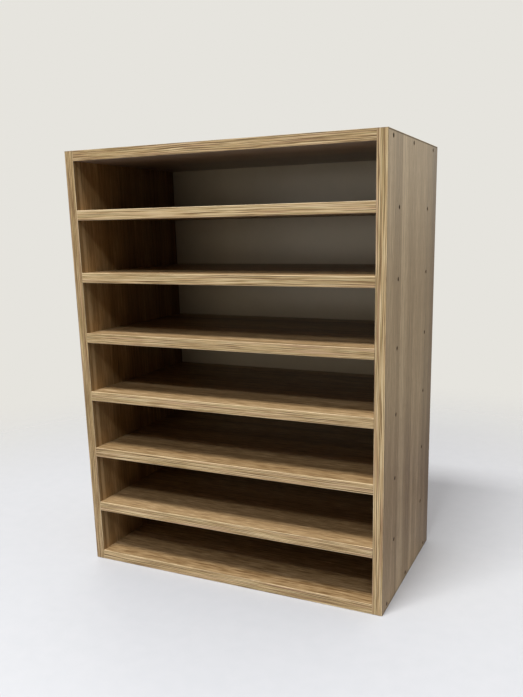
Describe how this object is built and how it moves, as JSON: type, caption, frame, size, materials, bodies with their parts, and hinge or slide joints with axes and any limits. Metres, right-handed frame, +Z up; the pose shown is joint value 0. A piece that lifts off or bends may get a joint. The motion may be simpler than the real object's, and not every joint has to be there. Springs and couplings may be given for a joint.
{
  "type": "paint rack organizer",
  "caption": "Free-standing open-fronted woodgrain rack with fixed shelves between two full-height sides and a thin pale back, for flat sheets, canvases and paints.",
  "frame": {"origin": "middle of the footprint, on the surface that the rack stands on", "axes": "+Z up, +X to the right as seen from the open front, +Y from the open front to the back panel"},
  "size_m": [0.532, 0.293, 0.7],
  "materials": {
    "woodgrain_board": "satin oak woodgrain facing",
    "edge_band": "matt streaky oak woodgrain edge band",
    "pale_hardboard": "off-white painted face, brown rear",
    "black_screw": "black phosphate",
    "bright_nail": "plain bright steel"
  },
  "bodies": {
    "root": {"left_side_panel": "woodgrain_board", "right_side_panel": "woodgrain_board", "top_panel": "woodgrain_board", "bottom_panel": "woodgrain_board", "shelf_1": "woodgrain_board", "shelf_2": "woodgrain_board", "shelf_3": "woodgrain_board", "shelf_4": "woodgrain_board", "shelf_5": "woodgrain_board", "shelf_6": "woodgrain_board", "left_side_front_band": "edge_band", "right_side_front_band": "edge_band", "left_side_top_band": "edge_band", "right_side_top_band": "edge_band", "top_front_band": "edge_band", "bottom_front_band": "edge_band", "shelf_1_front_band": "edge_band", "shelf_2_front_band": "edge_band", "shelf_3_front_band": "edge_band", "shelf_4_front_band": "edge_band", "shelf_5_front_band": "edge_band", "shelf_6_front_band": "edge_band", "left_side_screws": "black_screw", "right_side_screws": "black_screw", "back_panel": "pale_hardboard", "back_panel_nails": "bright_nail"}
  },
  "joints": []
}
